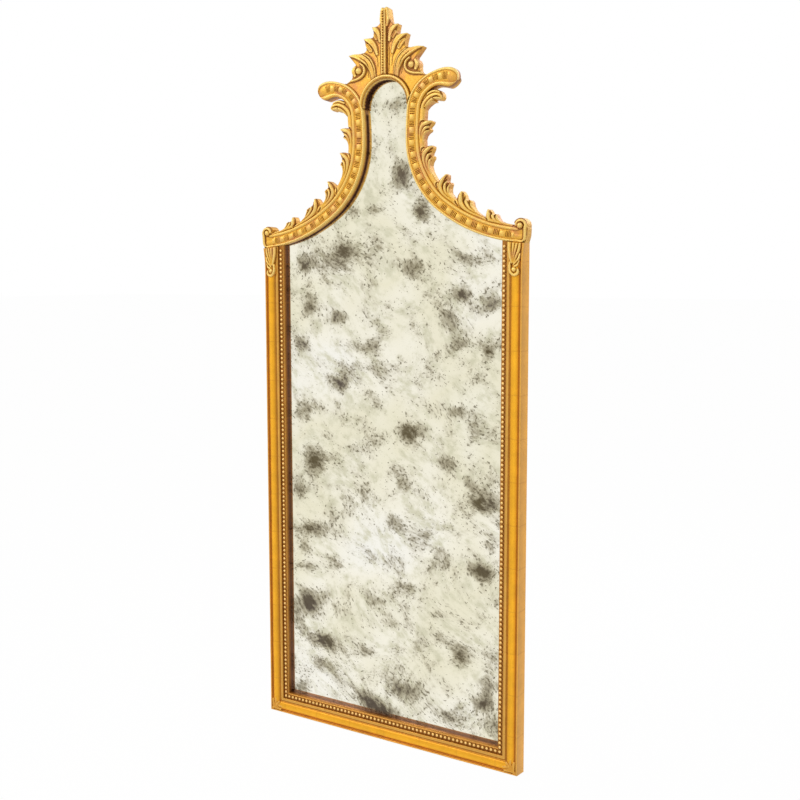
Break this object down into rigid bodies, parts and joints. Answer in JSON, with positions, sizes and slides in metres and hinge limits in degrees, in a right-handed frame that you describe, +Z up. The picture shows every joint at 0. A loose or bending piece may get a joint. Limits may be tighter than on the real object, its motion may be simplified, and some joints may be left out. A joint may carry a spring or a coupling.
{
  "type": "pier mirror",
  "caption": "Tall narrow wall mirror with a bell-shaped top: beaded gilt moulding, C-scroll rails, carved acanthus crest, aged glass and swinging hanging rings.",
  "frame": {"origin": "on the wall plane, under the centre line, level with the lowest edge at the back of the bottom rail", "axes": "+X to the right as seen from the front, +Y into the wall, +Z up; the front looks along -Y"},
  "size_m": [0.626, 0.0406, 1.56],
  "materials": {
    "water_gilt": "burnished gold leaf over red bole on gesso",
    "carved_gilt": "matt gold leaf, worn, on carved wood",
    "bead_gilt": "gold leaf",
    "aged_glass": "aged mercury mirror glass, foxed",
    "silver_back": "dull silvering backed with paint",
    "pine_board": "old unfinished pine",
    "hardwood_pin": "bare hardwood",
    "dark_steel": "dull plated steel",
    "felt_pad": "dark felt-faced pad"
  },
  "bodies": {
    "frame": {"left_stile": "water_gilt", "right_stile": "water_gilt", "bottom_rail": "water_gilt", "left_scroll": "carved_gilt", "right_scroll": "carved_gilt", "left_volute": "carved_gilt", "right_volute": "carved_gilt", "crest_arch": "water_gilt", "crest_palmette": "carved_gilt", "left_leaves": "carved_gilt", "right_leaves": "carved_gilt", "left_drop": "carved_gilt", "right_drop": "carved_gilt", "left_corner_leaf": "carved_gilt", "right_corner_leaf": "carved_gilt", "left_beads": "bead_gilt", "right_beads": "bead_gilt", "bottom_beads": "bead_gilt", "mirror_glass": "aged_glass", "silvering": "silver_back", "lower_board": "pine_board", "upper_board": "pine_board", "board_brads": "dark_steel", "mitre_splines": "hardwood_pin", "shoulder_dowels": "hardwood_pin", "crest_dowels": "hardwood_pin", "left_strap": "dark_steel", "right_strap": "dark_steel", "hanger_screws": "dark_steel", "wall_bumpers": "felt_pad"},
    "left_hanging_ring": {"left_ring": "dark_steel"},
    "right_hanging_ring": {"right_ring": "dark_steel"}
  },
  "joints": [
    {"name": "left_ring_swing", "type": "hinge", "parent": "frame", "child": "left_hanging_ring", "pos_m": [-0.286, -0.0034, 0.935], "axis": [1, 0, 0], "range_deg": [0, 180]},
    {"name": "right_ring_swing", "type": "hinge", "parent": "frame", "child": "right_hanging_ring", "pos_m": [0.286, -0.0034, 0.935], "axis": [1, 0, 0], "range_deg": [0, 180]}
  ]
}
